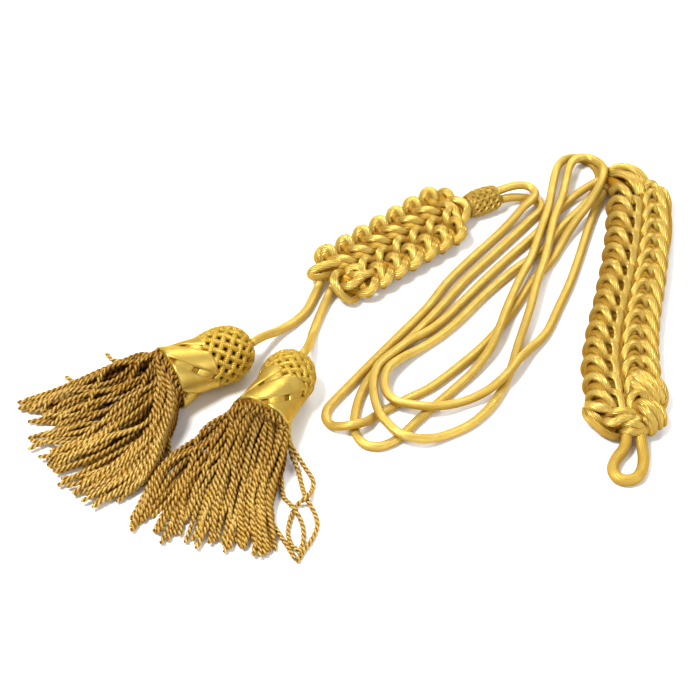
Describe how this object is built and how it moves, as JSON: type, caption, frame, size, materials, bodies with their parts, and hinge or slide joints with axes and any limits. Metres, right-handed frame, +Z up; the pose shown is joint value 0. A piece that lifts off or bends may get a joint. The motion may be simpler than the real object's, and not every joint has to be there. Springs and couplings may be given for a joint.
{
  "type": "aiguillette",
  "caption": "Gold dress-uniform cord laid out flat: tassels, a short plait, a slider, loops of plain cord, a long plait and a button loop.",
  "frame": {"origin": "bottom centre of the box round the plaits, tassels, slider and button loop, on the surface that the cord lies on", "axes": "+X to the long plait's side and away from the tassels, +Y away from the button loop and the fringes' tips, +Z up"},
  "size_m": [0.3639, 0.3011, 0.0309],
  "materials": {
    "gold_plait": "plaited gold gimp cord, satin metallic sheen",
    "gold_cord": "fine twisted gold gimp, satin metallic sheen",
    "gold_netting": "gold netting over a dark dome",
    "gold_band": "smooth crossed gold strips, satin",
    "gold_fringe": "twisted bullion fringe, dull gold with brown depths"
  },
  "bodies": {
    "root": {"long_plait": "gold_plait", "button_loop": "gold_cord", "short_plait": "gold_plait", "slider_knot": "gold_plait", "slider_cord_upper": "gold_cord", "slider_cord_lower": "gold_cord", "long_cord_a": "gold_cord", "long_cord_b": "gold_cord", "tassel_cord_left": "gold_cord", "tassel_cord_right": "gold_cord", "tassel_head_left": "gold_netting", "tassel_head_right": "gold_netting", "tassel_band_left": "gold_band", "tassel_band_right": "gold_band", "tassel_fringe_left": "gold_fringe", "tassel_fringe_right": "gold_fringe"}
  },
  "joints": []
}
